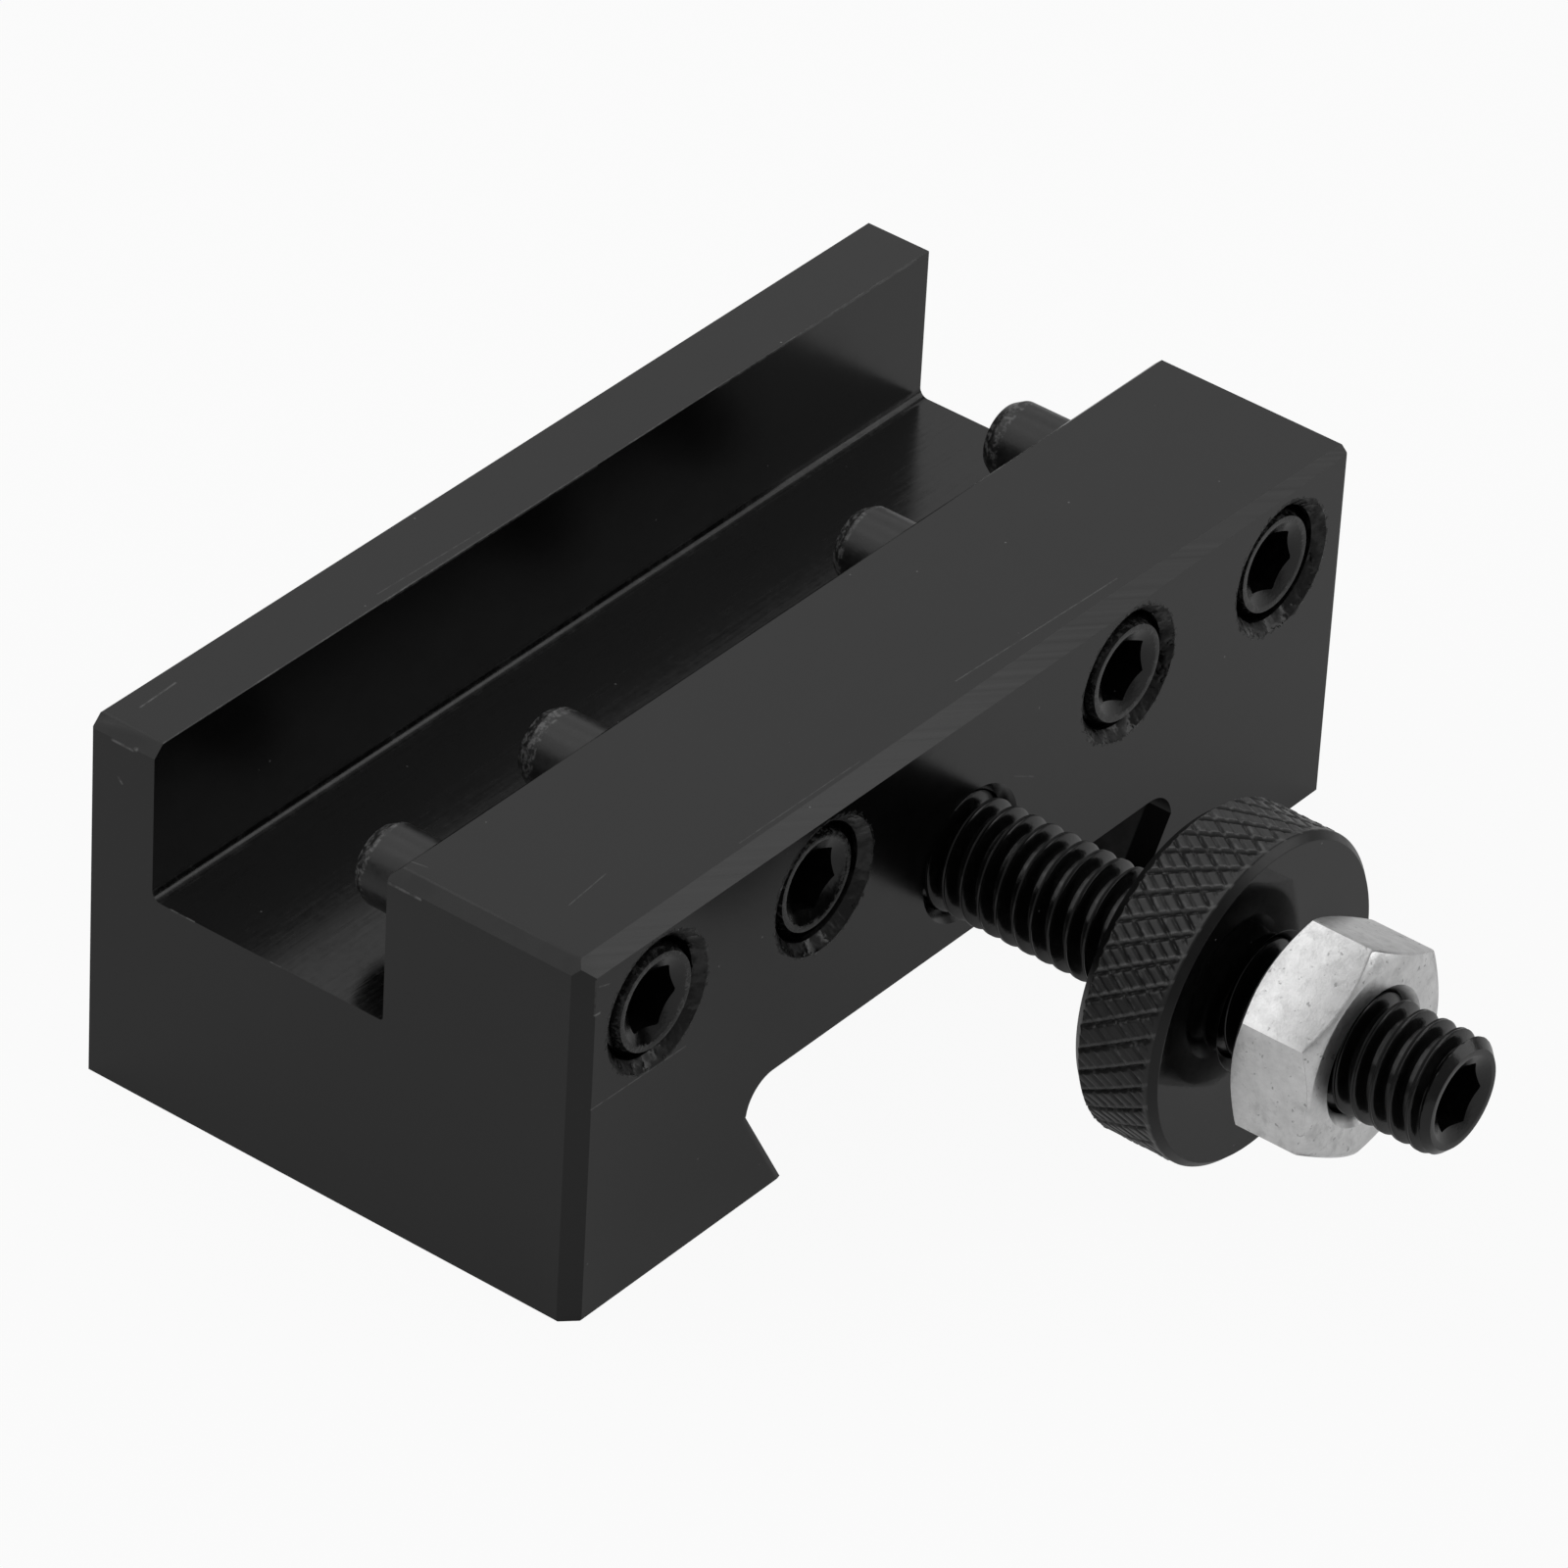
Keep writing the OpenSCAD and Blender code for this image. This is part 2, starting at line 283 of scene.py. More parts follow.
def clamp_screw(index, material):
    node = f"clamp_screw_{index + 1}"
    low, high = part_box(node)
    x, z = (low.x + high.x) / 2, (low.z + high.z) / 2
    crest = (high.z - low.z) / 2
    length = high.y - low.y
    root = crest - THREAD_DEPTH
    thread_end = length - POINT_LENGTH
    rim_radius = crest - RIM_CHAMFER
    solid = Solid(THREAD_COLUMNS)
    first, last = thread_surface(
        solid, crest, thread_end - NECK_HALF, rim_radius, root, SCREW_RIM_OPENING)
    socket_end(solid, first, rim_radius, SCREW_TURNS[index])
    point = rounded([
        (root, thread_end - NECK_HALF, 0),
        (POINT_RADIUS, thread_end + NECK_HALF, NECK_FILLET),
        (POINT_RADIUS, length - POINT_CONE_LENGTH, POINT_FILLET),
        (POINT_RADIUS - POINT_CONE_DROP, length, POINT_FILLET),
        (POINT_FLAT_RADIUS, length, 0)])
    tip = solid.path(point[1:], last)
    solid.fan(tip, solid.centre(length), True)
    place = along_y(x, low.y, z, True)
    return solid.build(f"screw_{index + 1}_threaded", place, f"screw_{index + 1}",
                       node, material, THREAD_SHARP)


STUD_SOCKET_TURN = 11


def height_stud(material):
    low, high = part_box("height_stud")
    x, z = (low.x + high.x) / 2, (low.z + high.z) / 2
    crest = (high.z - low.z) / 2
    length = high.y - low.y
    rim_radius = crest - RIM_CHAMFER
    solid = Solid(THREAD_COLUMNS)
    first, last = thread_surface(
        solid, crest, length, rim_radius, crest - 2 * RIM_CHAMFER)
    socket_end(solid, first, rim_radius, STUD_SOCKET_TURN)
    solid.fan(last, solid.centre(length), True)
    place = along_y(x, low.y, z, True)
    return solid.build("stud_threaded", place, "holder", "height_stud",
                       material, THREAD_SHARP)


# Bore of the wheel and of the nut. Both hang low on the stud by the play of their threads.
BORE_RADIUS = 3.0 * MM
BORE_CHAMFER = 0.5 * MM
THREAD_SAG = 0.07 * MM
TURNED_SHARP = 30

# Knurled wheel
WHEEL_COLUMNS = 900
WHEEL_CHAMFER = 0.35 * MM
WHEEL_BACK_CHAMFER = 0.65 * MM
WHEEL_RIM_FILLET = 0.15 * MM
WHEEL_FRONT_FILLET = 0.05 * MM
WHEEL_FILLET = 0.08 * MM
WHEEL_FACE_START = 0.3 * MM
WHEEL_FACE_MIDDLE = 1.5 * MM
PLAIN_BORDER = 0.15 * MM
KNURL_FADE = 0.25 * MM
KNURL_STEP = 0.08 * MM
KNURL_COUNT = 40
KNURL_ANGLE = math.radians(32)
KNURL_UNEVEN = 0.12
GROOVE_EASED = 0.5
GROOVE_DEPTH = 0.16 * MM
GROOVE_HALF_WIDTH = 0.15 * MM
CROSSING_DEPTHS = [0.11 * MM, 0.06 * MM]
CROSSING_HALF_WIDTHS = [GROOVE_HALF_WIDTH * 0.9, GROOVE_HALF_WIDTH * 0.8]
CROSSING_SHIFTS = [0.2, 0.68]
LIP_HEIGHT = 0.035 * MM
LIP_HALF_WIDTH = 0.1 * MM
LIP_SHIFT = 0.16
ROUND_RIM = 0.01 * MM


def groove_spacing(radius):
    """Distance between the grooves of one hand, across them."""
    return 2 * math.pi * radius / KNURL_COUNT * math.cos(KNURL_ANGLE)


def groove(position, depth, half_width, spacing):
    """Depth of a family of V grooves, for places counted in groove spacings."""
    away = np.abs(np.mod(position, 1.0) - 0.5) * spacing
    return depth * eased(np.clip(1 - away / half_width, 0, 1), GROOVE_EASED)


def knurl(angles, z, radius, thick):
    """Depth of the diamond knurl: one hand is cut firmly, and the other twice over
    and lightly, with every second groove weaker. A lip stands beside each firm groove."""
    lean = math.tan(KNURL_ANGLE) * z / radius
    turns = angles * KNURL_COUNT / (2 * math.pi)
    shift = lean * KNURL_COUNT / (2 * math.pi)
    spacing = groove_spacing(radius)
    slow_wave = 0.25 * np.sin(3 * angles + 1.3)
    quick_wave = 0.2 * np.sin(7 * angles + 900 * z)
    uneven = 1 + slow_wave + quick_wave
    cut = groove(turns + shift, GROOVE_DEPTH, GROOVE_HALF_WIDTH, spacing)
    for depth, half_width, offset in zip(
            CROSSING_DEPTHS, CROSSING_HALF_WIDTHS, CROSSING_SHIFTS):
        light = groove(turns - shift + offset, depth, half_width, spacing)
        cut = np.maximum(cut, light * uneven)
    cut = cut * (1 - KNURL_UNEVEN + KNURL_UNEVEN * uneven)
    lip = groove(turns + shift + LIP_SHIFT, LIP_HEIGHT, LIP_HALF_WIDTH, spacing)
    fade = min(1.0, max(0.0, (thick - WHEEL_CHAMFER - PLAIN_BORDER - z) / KNURL_FADE))
    return (cut - lip * uneven) * fade


def resampled(outline, step):
    """The outline with points no further apart than step."""
    dense = [outline[0]]
    for here, after in zip(outline, outline[1:]):
        count = max(1, int(math.ceil(math.dist(here, after) / step)))
        here, after = np.array(here), np.array(after)
        dense.extend(tuple(here + (after - here) * k / count) for k in range(1, count + 1))
    return dense


def knurled_wheel(material):
    low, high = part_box("knurled_wheel")
    x, z = (low.x + high.x) / 2, (low.z + high.z) / 2
    radius = (high.x - low.x) / 2
    thick = high.y - low.y
    flat = radius - WHEEL_CHAMFER
    back = radius - WHEEL_BACK_CHAMFER
    lip = BORE_RADIUS + BORE_CHAMFER
    rim = rounded([
        (back - WHEEL_FACE_START, 0, 0),
        (back, 0, WHEEL_FILLET),
        (radius, WHEEL_BACK_CHAMFER, WHEEL_RIM_FILLET),
        (radius, thick - WHEEL_CHAMFER, WHEEL_RIM_FILLET),
        (flat, thick, WHEEL_FRONT_FILLET),
        (flat - WHEEL_FACE_START, thick, 0)])
    bore = rounded([
        (flat - WHEEL_FACE_MIDDLE, thick, 0),
        (lip, thick, WHEEL_FILLET),
        (BORE_RADIUS, thick - BORE_CHAMFER, WHEEL_FILLET),
        (BORE_RADIUS, BORE_CHAMFER, WHEEL_FILLET),
        (lip, 0, WHEEL_FILLET),
        (flat - WHEEL_FACE_MIDDLE, 0, 0)])
    solid = Solid(WHEEL_COLUMNS)
    knurled = []
    for r, h in resampled(rim, KNURL_STEP):
        cut = radius - knurl(solid.angles, h, radius, thick)
        knurled.append((cut if r > radius - ROUND_RIM else np.minimum(r, cut), h))
    first = solid.ring(*knurled[0])
    last = solid.path(knurled[1:] + bore, first)
    solid.join(last, first)
    place = along_y(x, high.y, z - THREAD_SAG, False)
    return solid.build("wheel_knurled", place, "wheel", "knurled_wheel",
                       material, TURNED_SHARP)


# Lock nut
NUT_COLUMNS = 144
NUT_FLATS = 10.0 * MM
NUT_FACE_RADIUS = 4.75 * MM
NUT_CHAMFER_ANGLE = math.radians(30)
NUT_TURN = 31.6
NUT_CORNER_LOSS = 0.05 * MM
NUT_CORNER_ROUNDING = 0.04 * MM
NUT_EDGE = 0.04 * MM
NUT_BURR = 0.07 * MM
NUT_BORE_FILLET = 0.06 * MM


def lock_nut(material):
    low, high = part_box("lock_nut")
    x, z = (low.x + high.x) / 2, (low.z + high.z) / 2
    thick = high.y - low.y
    soft = NUT_EDGE
    face = NUT_FACE_RADIUS
    lip = BORE_RADIUS + BORE_CHAMFER
    solid = Solid(NUT_COLUMNS)
    solid.angles = solid.angles + math.radians(NUT_TURN)
    hexagon, corner = hexagon_radii(solid.angles, NUT_FLATS, NUT_TURN)
    worn = corner - NUT_CORNER_LOSS
    past = worn - hexagon
    hexagon = worn - (np.sqrt(past**2 + NUT_CORNER_ROUNDING**2) + past) / 2
    drop = (hexagon - face) * math.tan(NUT_CHAMFER_ANGLE)
    outside = [
        (lip + soft, 0.0),
        (face - soft, 0.0),
        (face + soft, soft * 0.5),
        (hexagon - soft, drop - soft * 0.4),
        (hexagon, drop + soft),
        (hexagon, thick - drop - soft),
        (hexagon - soft, thick - drop + NUT_BURR),
        (hexagon - 3 * soft, thick - drop + soft),
        (hexagon - 5 * soft, thick - drop + 2.9 * soft),
        (face + soft, thick - soft * 0.5),
        (face - soft, thick),
        (lip + soft, thick)]
    bore = rounded([
        (lip + soft, thick, 0),
        (lip, thick - soft * 0.2, 0),
        (BORE_RADIUS, thick - BORE_CHAMFER, NUT_BORE_FILLET),
        (BORE_RADIUS, BORE_CHAMFER, NUT_BORE_FILLET),
        (lip, soft * 0.2, 0),
        (lip + soft, 0, 0)])
    first = solid.ring(*outside[0])
    last = solid.path(outside[1:] + bore[1:-1], first)
    solid.join(last, first)
    place = along_y(x, high.y, z - THREAD_SAG, False)
    return solid.build("nut_chamfered", place, "nut", "lock_nut",
                       material, TURNED_SHARP)


# Body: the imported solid, with every sharp edge rounded over, the top of its near
# end more than the rest, and the long chamfer thinner towards the far end
CAD_WELD = 2e-6
CAD_FLAT = math.radians(0.5)
SAME_NORMAL = 0.02
EDGE_WIDTH = 0.03 * MM
EDGE_SEGMENTS = 2
EDGE_ANGLE = math.radians(20)
SOFT_EDGE_WIDTH = 0.42 * MM
SOFT_EDGE_SEGMENTS = 6
FILED_WIDTH = 0.18 * MM
FILED_AREA = 1.5 * MM**2
FAR_CHAMFER_LOSS = 0.4 * MM
FAR_CHAMFER_START = 10.0 * MM
CHAMFER_ROOM = 1.0 * MM
CORNER_ROOM = 0.1 * MM
BODY_SHARP = 50
SLANT = math.sqrt(0.5)


def near(vector, x, y, z):
    return (vector - Vector((x, y, z))).length < SAME_NORMAL


def mark_filed_strips(bm, layer):
    """Marks the long and narrow faces as worn, and as places for a painted edge highlight."""
    for face in bm.faces:
        area = face.calc_area()
        if 2 * area / face.calc_perimeter() < FILED_WIDTH and area > FILED_AREA:
            face[layer] = 1.0


def thin_long_chamfer(bm, low, high):
    """Splits the chamfer along the screws' face, and narrows its far end."""
    chamfer = next(f for f in bm.faces if near(f.normal, 0, -SLANT, SLANT)
                   and f.calc_center_median().y < low.y + CHAMFER_ROOM)
    splits = []
    for edge in list(chamfer.edges):
        start, end = edge.verts
        run = end.co.x - start.co.x
        if abs(run) > 0.5 * (high.x - low.x):
            share = (FAR_CHAMFER_START - start.co.x) / run
            splits.append(bmesh.utils.edge_split(edge, start, share)[1])
    for vert in list(chamfer.verts):
        if vert.co.x > high.x - CORNER_ROOM:
            if vert.co.z > high.z - CORNER_ROOM:
                vert.co.y -= FAR_CHAMFER_LOSS
            else:
                vert.co.z += FAR_CHAMFER_LOSS
    bmesh.utils.face_split(chamfer, *splits)
    bm.normal_update()


def round_over(bm, edges, width, segments):
    return bmesh.ops.bevel(
        bm, geom=edges, offset=width, offset_type="OFFSET", segments=segments,
        profile=0.5, clamp_overlap=True, affect="EDGES")["faces"]


def rounded_body(material):
    low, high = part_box("holder_body")
    bm = bmesh.new()
    bm.from_mesh(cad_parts["holder_body"].data)
    bmesh.ops.remove_doubles(bm, verts=bm.verts, dist=CAD_WELD)
    bmesh.ops.dissolve_limit(
        bm, angle_limit=CAD_FLAT, verts=bm.verts, edges=bm.edges, delimit=set())
    layer = bm.faces.layers.float.new("edge_wear_and_glint")
    mark_filed_strips(bm, layer)
    thin_long_chamfer(bm, low, high)
    soft = [e for e in bm.edges
            if any(near(f.normal, -SLANT, 0, SLANT) for f in e.link_faces)
            and any(near(f.normal, 0, 0, 1) for f in e.link_faces)]
    round_over(bm, soft, SOFT_EDGE_WIDTH, SOFT_EDGE_SEGMENTS)
    edges = [e for e in bm.edges
             if len(e.link_faces) == 2 and e.calc_face_angle() > EDGE_ANGLE]
    # The rounded edges are marked for rubbed wear and for painted edge highlights
    for face in round_over(bm, edges, EDGE_WIDTH, EDGE_SEGMENTS):
        face[layer] = 1.0
    piece = finish_mesh(bm, "body_rounded", "holder", "holder_body",
                        material, BODY_SHARP)
    smooth = piece.modifiers.new("even_shading", "WEIGHTED_NORMAL")
    smooth.keep_sharp = True
    return piece


# Materials
class Nodes:
    """A node tree under construction, emptied first."""

    def __init__(self, tree):
        self.tree = tree
        self.tree.nodes.clear()

    def node(self, kind, inputs=None, **settings):
        node = self.tree.nodes.new("ShaderNode" + kind)
        for key, value in settings.items():
            setattr(node, key, value)
        for key, value in (inputs or {}).items():
            self.feed(node.inputs[key], value)
        return node

    def feed(self, socket, value):
        """Links a node's output to the socket, or sets the socket to a plain value."""
        if isinstance(value, bpy.types.NodeSocket):
            self.tree.links.new(value, socket)
        else:
            socket.default_value = value

    def output(self, kind, inputs, socket=0, **settings):
        return self.node(kind, inputs, **settings).outputs[socket]

    def math(self, operation, a, b=0.0, c=0.0):
        return self.output("Math", {0: a, 1: b, 2: c}, operation=operation)

    def product(self, *values):
        result = values[0]
        for value in values[1:]:
            result = self.math("MULTIPLY", result, value)
        return result

    def largest(self, *values):
        result = values[0]
        for value in values[1:]:
            result = self.math("MAXIMUM", result, value)
        return result

    def weighted(self, *pairs):
        """Sum of values, each times its weight."""
        parts = [self.math("MULTIPLY", value, weight) for value, weight in pairs]
        result = parts[0]
        for part in parts[1:]:
            result = self.math("ADD", result, part)
        return result


class Shader(Nodes):
    """A node material under construction. Its place socket is in millimetres."""

    def __init__(self, name):
        self.material = bpy.data.materials.new(name)
        self.material.use_nodes = True
        super().__init__(self.material.node_tree)
        self.surface = self.node("BsdfPrincipled")
        self.node("OutputMaterial", {"Surface": self.surface.outputs["BSDF"]})
        metres = self.output("TexCoord", {}, "Object")
        self.place = self.output("VectorMath", {0: metres, 3: 1 / MM}, operation="SCALE")

    def stretched(self, scale):
        return self.output("VectorMath", {0: self.place, 1: scale}, operation="MULTIPLY")

    def noise(self, scale, detail=3.0, rough=0.5, place=None):
        return self.output("TexNoise", {"Vector": place or self.place, "Scale": scale,
                                        "Detail": detail, "Roughness": rough}, "Fac")

    def axes(self):
        parts = self.node("SeparateXYZ", {0: self.place})
        return [parts.outputs[k] for k in range(3)]

    def normal(self):
        return self.output("NewGeometry", {}, "Normal")

    def dot(self, a, b):
        return self.output("VectorMath", {0: a, 1: b}, "Value", operation="DOT_PRODUCT")

    def distance(self, a, b):
        return self.output("VectorMath", {0: a, 1: b}, "Value", operation="DISTANCE")

    def mixed(self, share, a, b):
        """Number between a and b."""
        return self.output("Mix", {0: share, 2: a, 3: b})

    def band(self, value, low, high, to_low=0.0, to_high=1.0):
        """Value from low to high, mapped to to_low..to_high and held there outside."""
        return self.output("MapRange", {"Value": value, "From Min": low, "From Max": high,
                                        "To Min": to_low, "To Max": to_high})

    def between(self, value, low, high, soft=0.05):
        """Mask of the values from low to high, with soft ends."""
        return self.product(self.band(value, low - soft, low + soft),
                            self.band(value, high + soft, high - soft))

    def blend(self, share, a, b):
        """Colour between a and b."""
        node = self.node("Mix", data_type="RGBA")
        colours = [s for s in node.inputs if s.type == "RGBA"]
        for socket, value in ((node.inputs[0], share), (colours[0], a), (colours[1], b)):
            self.feed(socket, value)
        return next(s for s in node.outputs if s.type == "RGBA")

    def line_mark(self, start, end, width):
        """Mask of a straight line between two places in millimetres."""
        run = Vector(end) - Vector(start)
        from_start = self.output("VectorMath", {0: self.place, 1: start}, operation="SUBTRACT")
        share = self.math("DIVIDE", self.dot(from_start, run), run.length_squared)
        along = self.output("VectorMath", {0: run, 3: self.band(share, 0, 1)},
                            operation="SCALE")
        return self.band(self.distance(from_start, along), width, width * 0.3)

    def dust(self, scale, amount, colour, base):
        """The base colour with sparse pale specks."""
        cells = self.node("TexVoronoi", {"Vector": self.place, "Scale": scale})
        close = self.band(cells.outputs["Distance"], 0.09, 0.04)
        chance = self.output("SeparateColor", {0: cells.outputs["Color"]})
        picked = self.band(chance, 1 - amount, 1 - amount + 0.01)
        return self.blend(self.product(close, picked), base, colour)

    def set(self, **values):
        for name, value in values.items():
            self.feed(self.surface.inputs[name.replace("_", " ")], value)

    def bump(self, height, strength, distance):
        normal = self.output("Bump", {"Height": height, "Strength": strength,
                                      "Distance": distance})
        self.feed(self.surface.inputs["Normal"], normal)


def grey(level):
    return (level, level, level, 1.0)


# Places on the body and the screws, all in millimetres. Pairs are where a soft
# mask starts and ends.
SLOT_X = (-27.96, 28.1)
SLOT_Y = (-3.2, 10.7)
SLOT_Z = (11.25, 12.2)
HAZE_X = (-26.6, -27.6)
HAZE_Z = (17.4, 18.8)
STROKES_FADE_X = (-5.0, 8.0)
FLANK_Y = (-12.9, 13.0)
FLANK_NORMAL_X = (0.85, 0.88)
FLANK_NORMAL_Z = (0.48, 0.52)
# The clamp holes are two pairs on one line
ROW_MIDDLE, PAIR_MIDDLE, PAIR_HALF = 0.25, 17.15, 5.9
HOLE_Z = 15.2
HOLE_MOUTH = 3.62
MOUTH_Y = (-14.4, -13.5)
RIM_RADII = (2.1, 2.6)
RIM_Y = (-13.2, -13.5)
POINT_Y = (-2.6, -1.9)
TIP_Y = (1.0, 2.2)
# Scratches and nicks on the body, and painted highlights along some edges: start, end, half
# width, strength
MARKS = [
    ((-26.0, 13.2, 19.7), (-23.5, 13.3, 19.7), 0.07, 0.7),
    ((-28.0, 13.1, 19.0), (-28.0, 11.9, 19.0), 0.1, 0.9),
    ((-27.95, 11.75, 19.1), (-27.95, 11.7, 19.1), 0.13, 1.0),
    ((-28.0, 12.7, 17.1), (-28.0, 12.5, 16.9), 0.09, 0.7),
    ((-28.0, -3.1, 19.0), (-28.0, -4.9, 19.0), 0.1, 1.0),
    ((-26.9, -3.1, 19.7), (-26.7, -4.2, 19.7), 0.05, 0.4),
    ((-24.7, -10.6, 19.7), (-21.8, -10.3, 19.7), 0.05, 0.35),
    ((-26.97, -14.3, 18.34), (-26.32, -14.3, 18.14), 0.06, 0.7),
    ((-27.4, -14.3, 16.93), (-26.9, -14.3, 16.88), 0.08, 1.0),
    ((-27.25, -14.3, 18.8), (-27.25, -14.3, 17.0), 0.06, 0.6),
    ((-27.2, -14.3, 11.75), (-20.6, -14.3, 11.6), 0.06, 0.55),
    ((0.4, -12.55, 19.7), (11.9, -12.95, 19.7), 0.05, 0.45),
    ((-16.0, -13.2, 19.7), (-7.5, -13.25, 19.7), 0.05, 0.3),
    ((-12.0, 11.2, 19.7), (-5.0, 11.0, 19.7), 0.05, 0.3),
    ((3.0, -14.3, 13.9), (4.5, -14.3, 13.1), 0.05, 0.4),
    ((13.5, -3.0, 19.7), (24.5, -3.0, 19.7), 0.09, 1.0),
    ((-12.0, 10.6, 19.6), (3.0, 10.6, 19.6), 0.07, 0.6),
    ((12.0, 10.6, 19.6), (27.0, 10.6, 19.6), 0.07, 0.5),
    ((-28.0, 9.5, 11.4), (-28.0, 8.1, 11.4), 0.06, 0.9),
    ((-28.0, 3.6, 11.4), (-28.0, 3.0, 11.4), 0.05, 0.8),
]

OXIDE_SPECULAR = 0.42
LONG_CHAMFER_NORMAL = (0, -0.7071, 0.7071)
# Noise stretched along X, as scale factors of the place
GROUND_LINES = (0.35, 14.0, 14.0)
MILLED_STREAKS = (0.22, 5.0, 5.0)


def from_hole_axis(s, x, z):
    """Distance from the nearest clamp hole's axis, with the row folded onto one hole."""
    fold = s.math("ABSOLUTE", s.math("SUBTRACT", x, ROW_MIDDLE))
    fold = s.math("ABSOLUTE", s.math("SUBTRACT", fold, PAIR_MIDDLE))
    flat = s.output("CombineXYZ", {0: s.math("SUBTRACT", fold, PAIR_HALF),
                                   1: s.math("SUBTRACT", z, HOLE_Z)})
    return s.output("VectorMath", {0: flat}, "Value", operation="LENGTH")


def black_body_material():
    s = Shader("black_oxide_body")
    x, y, z = s.axes()
    normal = s.normal()
    cloud = s.noise(0.25, 4.0)
    smudge = s.noise(0.7, 3.0, 0.6)
    fine = s.noise(2.6, 5.0, 0.65)
    chips = s.noise(1.5, 2.0, 0.45)
    lines = s.noise(1.0, 3.0, 0.6, s.stretched(GROUND_LINES))
    streaks = s.noise(1.0, 4.0, 0.7, s.stretched(MILLED_STREAKS))

    # The slot's floor, milled along its length
    in_slot = s.product(s.between(y, *SLOT_Y), s.between(z, *SLOT_Z), s.between(x, *SLOT_X))
    # The countersunk mouths of the clamp holes, chipped and oily
    ragged = s.math("ADD", from_hole_axis(s, x, z), s.band(fine, 0.35, 0.65, -0.12, 0.22))
    mouth = s.product(s.band(ragged, HOLE_MOUTH, HOLE_MOUTH - 0.06), s.between(y, *MOUTH_Y))
    # Edges and filed strips, rubbed in patches, and less so in the slot. The pale patches are
    # partly painted edge highlights.
    glint_and_wear = s.output("Attribute", {}, "Fac", attribute_name="edge_wear_and_glint",
                    attribute_type="GEOMETRY")
    patchy = s.band(s.noise(0.9, 6.0, 0.75), 0.48, 0.68, 0.05, 1.0)
    rubbed_and_glinting = s.product(glint_and_wear, patchy, s.math("SUBTRACT", 1.0, mouth),
                       s.mixed(in_slot, 1.0, 0.4))
    broken = s.band(s.noise(2.4, 3.0, 0.6), 0.36, 0.56, 0.25, 1.0)
    scratches_and_glints = s.product(broken, s.largest(*[
        s.product(s.line_mark(start, end, width), strength)
        for start, end, width, strength in MARKS]))
    # The dovetail's flanks, painted pale in smudges: painted light, standing in for the light
    # that they catch inside the groove
    across = s.math("ABSOLUTE", s.dot(normal, (1, 0, 0)))
    up = s.dot(normal, (0, 0, 1))
    flank_painted_light = s.product(s.between(across, *FLANK_NORMAL_X), s.between(up, *FLANK_NORMAL_Z),
                      s.between(y, *FLANK_Y), s.band(smudge, 0.3, 0.6, 0.6, 1.0))
    # The long chamfer by the screws, cut with a slanting stroke
    chamfer = s.band(s.dot(normal, LONG_CHAMFER_NORMAL), 0.98, 0.995)
    slanting = s.output("CombineXYZ", {0: s.weighted((x, 1.5), (z, 5.0))})
    strokes = s.noise(1.0, 4.0, 0.6, slanting)
    # The top of the near end, rubbed soft
    haze = s.product(s.band(x, *HAZE_X), s.band(z, *HAZE_Z))

    base = s.blend(cloud, grey(0.0025), grey(0.0045))
    # Paler edges: rubbed wear, and painted highlights along the edges
    base = s.blend(rubbed_and_glinting, base, grey(0.09))
    # Scratches, and painted highlights along some edges, in a pale grey
    base = s.blend(scratches_and_glints, base, grey(0.16))
    base = s.dust(1.3, 0.06, grey(0.16), base)
    # Painted light: the flanks are made pale grey
    base = s.blend(flank_painted_light, base, grey(0.5))

    ground = s.band(s.weighted((lines, 0.35), (smudge, 0.65)), 0.3, 0.7, 0.18, 0.25)
    milled = s.band(s.weighted((streaks, 0.6), (fine, 0.4)), 0.35, 0.65, 0.1, 0.3)
    stroked = s.math("ADD", s.band(strokes, 0.35, 0.65, 0.0, 0.1),
                     s.band(x, *STROKES_FADE_X, 0.2, 0.3))
    rough = s.mixed(in_slot, ground, milled)
    rough = s.mixed(chamfer, rough, stroked)
    rough = s.mixed(haze, rough, s.band(smudge, 0.35, 0.65, 0.26, 0.34))
    rough = s.mixed(mouth, rough, s.band(chips, 0.4, 0.6, 0.2, 0.6))
    s.set(Base_Color=base, Roughness=rough, Specular_IOR_Level=OXIDE_SPECULAR)
    relief = s.weighted((lines, 0.05), (s.product(streaks, in_slot), 0.18),
                        (s.product(chips, mouth), 9.0))
    s.bump(relief, 1.0, 0.00002)
    return s.material


def black_screw_material():
    s = Shader("black_oxide_screws")
    x, y, z = s.axes()
    spots = s.noise(2.2, 5.0, 0.65)
    streaks = s.noise(3.5, 4.0, 0.7)
    # The rims round the sockets are marked by keys
    rim = s.product(s.between(from_hole_axis(s, x, z), *RIM_RADII), s.band(y, *RIM_Y))
    # Only the dog points stand in the slot, and they are matt from wear
    point = s.band(y, *POINT_Y)
    tip = s.product(s.between(y, *TIP_Y), s.band(streaks, 0.48, 0.6))

    base = s.blend(s.band(spots, 0.55, 0.75), grey(0.004), grey(0.012))
    base = s.dust(1.6, 0.1, grey(0.15), base)
    base = s.blend(s.product(rim, s.band(streaks, 0.5, 0.62)), base, grey(0.07))
    patches = s.band(spots, 0.35, 0.65, 0.4, 1.0)
    base = s.blend(s.product(point, patches), base, grey(0.022))
    base = s.blend(tip, base, grey(0.13))

    glossy = s.band(spots, 0.3, 0.75, 0.13, 0.26)
    matt = s.band(spots, 0.3, 0.75, 0.28, 0.42)
    rough = s.mixed(point, glossy, matt)
    rough = s.mixed(rim, rough, s.band(streaks, 0.35, 0.65, 0.16, 0.4))
    s.set(Base_Color=base, Roughness=rough, Specular_IOR_Level=OXIDE_SPECULAR)
    dented = s.product(streaks, s.mixed(rim, 0.0, 0.8))
    s.bump(s.math("ADD", s.noise(5.0, 4.0), dented), 0.25, 0.00003)
    return s.material


